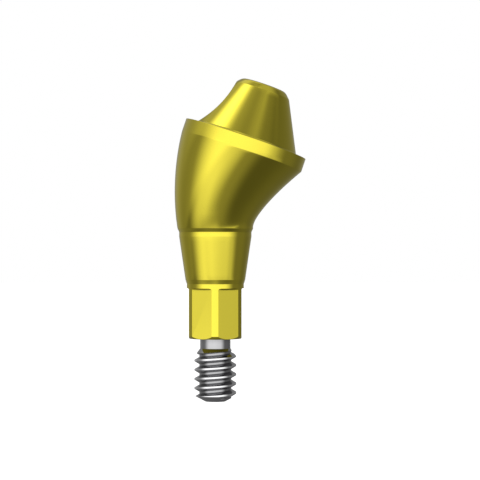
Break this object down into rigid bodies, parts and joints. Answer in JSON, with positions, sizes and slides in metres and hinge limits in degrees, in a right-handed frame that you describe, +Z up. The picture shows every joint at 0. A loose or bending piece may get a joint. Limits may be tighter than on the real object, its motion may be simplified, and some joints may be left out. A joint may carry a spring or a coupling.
{
  "type": "dental abutment",
  "caption": "Angled multi-unit dental abutment: tilted cone and flange on a curved belly, conical and hexagonal implant connection, captive threaded screw.",
  "frame": {"origin": "on the implant axis, at the top of the conical connection, where the abutment meets the implant's platform", "axes": "+Z up the implant axis, out of the implant; +X towards the side that the prosthetic head leans to; the body mirrors about the XZ plane"},
  "size_m": [0.0049, 0.0048, 0.0124],
  "materials": {
    "gold_nitride": "satin yellow-gold titanium nitride on titanium alloy",
    "titanium": "bright machined grey titanium alloy"
  },
  "bodies": {
    "abutment": {"abutment_body": "gold_nitride"},
    "screw": {"abutment_screw": "titanium"}
  },
  "joints": [
    {"name": "screw_turn", "type": "hinge", "parent": "abutment", "child": "screw", "pos_m": [0, 0, -0.0012], "axis": [0, 0, 1], "continuous": true}
  ]
}
